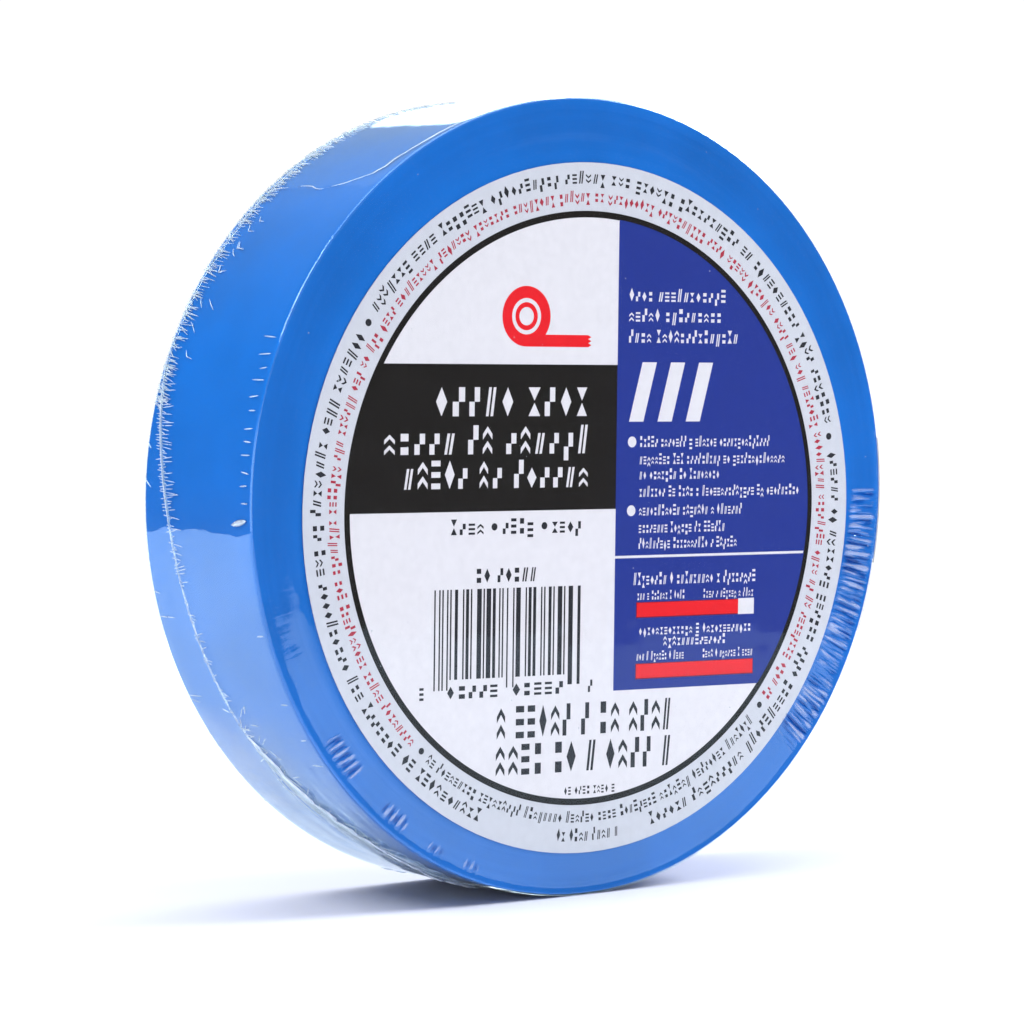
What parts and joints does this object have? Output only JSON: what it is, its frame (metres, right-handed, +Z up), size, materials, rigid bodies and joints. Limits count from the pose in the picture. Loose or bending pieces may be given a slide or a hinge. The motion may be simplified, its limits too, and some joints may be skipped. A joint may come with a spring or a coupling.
{
  "type": "tape roll",
  "caption": "Roll of blue vinyl tape on a paperboard core, with a printed disc label, sealed in clear shrink film.",
  "frame": {"origin": "the middle of the core's bore, half way across the tape's width", "axes": "+Y along the roll's axis, out of its rear face; -Y out of the labelled front face; +Z up with the roll standing on its rim; +X to the right seen from the front"},
  "size_m": [0.1096, 0.0259, 0.1096],
  "materials": {
    "core_liner": "matte kraft paper",
    "paperboard": "matte grey-brown board",
    "blue_vinyl": "smooth satin vinyl",
    "adhesive": "tacky, glossy, over blue",
    "label_print": "coated, printed paper",
    "clear_film": "clear glossy shrink film"
  },
  "bodies": {
    "roll": {"core_inner_liner": "core_liner", "core_body_ply_1": "paperboard", "core_body_ply_2": "paperboard", "core_body_ply_3": "paperboard", "core_outer_ply": "paperboard", "tape_winding": "blue_vinyl", "tape_last_turn": "blue_vinyl"},
    "free_end": {"tape_free_end_backing": "blue_vinyl", "tape_free_end_adhesive": "adhesive", "shrink_film_tear_flap": "clear_film"},
    "label": {"label_disc": "label_print"},
    "film_front": {"shrink_film_front": "clear_film"},
    "film_rear": {"shrink_film_rear": "clear_film", "shrink_film_trim_seal": "clear_film"}
  },
  "joints": [
    {"name": "free_end_peel", "type": "hinge", "parent": "roll", "child": "free_end", "pos_m": [0.05395, 0, 0.00756], "axis": [0, -1, 0], "range_deg": [0, 120]},
    {"name": "film_front_off", "type": "slide", "parent": "roll", "child": "film_front", "axis": [0, -1, 0], "range_m": [0, 0.06]},
    {"name": "film_rear_off", "type": "slide", "parent": "roll", "child": "film_rear", "axis": [0, 1, 0], "range_m": [0, 0.06]},
    {"name": "label_off", "type": "slide", "parent": "roll", "child": "label", "axis": [0, -1, 0], "range_m": [0, 0.03]}
  ],
  "couplings": [
    {"joint": "label_off", "follows": "film_front_off", "ratio": 0.5}
  ]
}
